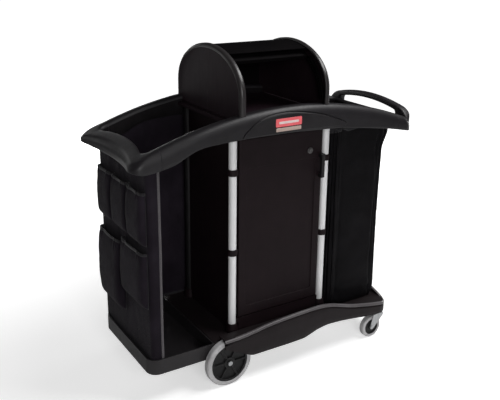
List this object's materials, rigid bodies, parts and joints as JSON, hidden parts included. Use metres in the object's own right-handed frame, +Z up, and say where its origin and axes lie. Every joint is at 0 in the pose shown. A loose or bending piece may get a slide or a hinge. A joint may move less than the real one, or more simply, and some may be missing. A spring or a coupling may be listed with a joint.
{
  "type": "housekeeping cart",
  "caption": "Long housekeeping cart with a lockable cabinet, roll-back hood, open linen bay with pocket panel, and a hanging linen bag.",
  "frame": {"origin": "on the floor, under the middle of the cart's overall length and width", "axes": "+Z up; -Y towards the cabinet's door side; -X towards the linen bay and +X towards the bag and push handle"},
  "size_m": [1.3, 0.559, 1.344],
  "materials": {
    "base_plastic": "satin moulded",
    "cabinet_plastic": "fine grain",
    "pull_plastic": "satin",
    "rim_plastic": "satin moulded",
    "badge_red": "gloss",
    "hood_plastic": "satin moulded",
    "aluminium": "anodised",
    "wheel_tyre": "non-marking grey",
    "hub_plastic": "satin moulded",
    "zinc_steel": "zinc plated",
    "black_steel": "black paint",
    "organiser_fabric": "woven nylon",
    "bag_fabric": "coated woven nylon"
  },
  "bodies": {
    "cart": {"base_skirt": "base_plastic", "base_deck": "base_plastic", "linen_tray": "base_plastic", "axle_blocks": "base_plastic", "cabinet_right_side": "cabinet_plastic", "cabinet_left_side": "cabinet_plastic", "cabinet_back": "cabinet_plastic", "door_surround": "cabinet_plastic", "post_sockets": "cabinet_plastic", "lower_shelf": "cabinet_plastic", "upper_shelf": "cabinet_plastic", "strike_collars": "cabinet_plastic", "rim_front_rail": "rim_plastic", "rim_back_rail": "rim_plastic", "rim_left_end": "rim_plastic", "rim_right_end": "rim_plastic", "rim_front_fascia": "rim_plastic", "rim_back_fascia": "rim_plastic", "badge_plate": "badge_red", "hood_floor": "hood_plastic", "hood_right_end": "hood_plastic", "hood_left_end": "hood_plastic", "hood_roof": "hood_plastic", "hood_tracks": "hood_plastic", "front_left_post": "aluminium", "front_right_post": "aluminium", "wheel_axle": "zinc_steel", "front_caster_plate": "zinc_steel", "back_caster_plate": "zinc_steel", "caster_bolts": "zinc_steel", "shelf_pins": "zinc_steel", "lock_strike": "zinc_steel", "back_left_post": "black_steel", "back_right_post": "black_steel", "vacuum_holder": "black_steel", "bag_clips": "black_steel", "organiser_panel": "organiser_fabric", "organiser_pockets": "organiser_fabric", "bay_back_panel": "organiser_fabric", "linen_bag": "bag_fabric"},
    "door": {"door_panel": "cabinet_plastic", "door_hinge_collars": "cabinet_plastic", "door_pull": "pull_plastic", "lock_escutcheon": "zinc_steel"},
    "door_lock": {"lock_cylinder": "zinc_steel", "lock_cam": "zinc_steel"},
    "hood_shutter": {"hood_shutter": "hood_plastic", "shutter_bar": "black_steel"},
    "front_wheel": {"front_wheel_hub": "hub_plastic", "front_wheel_tyre": "wheel_tyre"},
    "back_wheel": {"back_wheel_hub": "hub_plastic", "back_wheel_tyre": "wheel_tyre"},
    "front_caster_swivel": {"front_caster_fork": "zinc_steel", "front_caster_axle": "zinc_steel"},
    "back_caster_swivel": {"back_caster_fork": "zinc_steel", "back_caster_axle": "zinc_steel"},
    "front_caster_wheel": {"front_caster_hub": "hub_plastic", "front_caster_tread": "wheel_tyre"},
    "back_caster_wheel": {"back_caster_hub": "hub_plastic", "back_caster_tread": "wheel_tyre"}
  },
  "joints": [
    {"name": "door_hinge", "type": "hinge", "parent": "cart", "child": "door", "pos_m": [-0.1995, -0.185, 0.625], "axis": [0, 0, -1], "range_deg": [0, 110]},
    {"name": "lock_turn", "type": "hinge", "parent": "door", "child": "door_lock", "pos_m": [0.159, -0.185, 0.914], "axis": [0, -1, 0], "range_deg": [0, 90]},
    {"name": "shutter_roll", "type": "hinge", "parent": "cart", "child": "hood_shutter", "pos_m": [-0.004, 0, 1.086], "axis": [1, 0, 0], "range_deg": [0, 47]},
    {"name": "front_wheel_spin", "type": "hinge", "parent": "cart", "child": "front_wheel", "pos_m": [-0.259, -0.25575, 0.1016], "axis": [0, 1, 0], "continuous": true},
    {"name": "back_wheel_spin", "type": "hinge", "parent": "cart", "child": "back_wheel", "pos_m": [-0.259, 0.25575, 0.1016], "axis": [0, 1, 0], "continuous": true},
    {"name": "front_caster_turn", "type": "hinge", "parent": "cart", "child": "front_caster_swivel", "pos_m": [0.527, -0.257, 0.11], "axis": [0, 0, 1], "continuous": true},
    {"name": "back_caster_turn", "type": "hinge", "parent": "cart", "child": "back_caster_swivel", "pos_m": [0.527, 0.257, 0.11], "axis": [0, 0, 1], "continuous": true},
    {"name": "front_caster_spin", "type": "hinge", "parent": "front_caster_swivel", "child": "front_caster_wheel", "pos_m": [0.492, -0.257, 0.0508], "axis": [0, 1, 0], "continuous": true},
    {"name": "back_caster_spin", "type": "hinge", "parent": "back_caster_swivel", "child": "back_caster_wheel", "pos_m": [0.492, 0.257, 0.0508], "axis": [0, 1, 0], "continuous": true}
  ]
}
